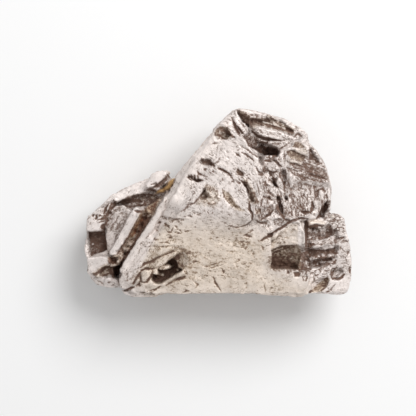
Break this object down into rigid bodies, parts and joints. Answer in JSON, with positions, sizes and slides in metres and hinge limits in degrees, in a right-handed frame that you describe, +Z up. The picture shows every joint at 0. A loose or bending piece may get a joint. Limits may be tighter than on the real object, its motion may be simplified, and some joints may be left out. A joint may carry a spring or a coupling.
{
  "type": "iron meteorite",
  "caption": "Small lump of coarse iron meteorite with plate-like crystals, lying on a flat cleavage face.",
  "frame": {"origin": "middle of the lump's footprint, on the surface it lies on", "axes": "+Z up from the resting face to the broad broken face; +X along the lump's length, from the small left lobe to the right lobe; +Y from the straight long edge towards the head"},
  "size_m": [0.0454, 0.032, 0.0165],
  "materials": {
    "nickel_iron": "brushed bright on the high faces, dark brown oxide left in the hollows"
  },
  "bodies": {
    "root": {"meteorite": "nickel_iron"}
  },
  "joints": []
}
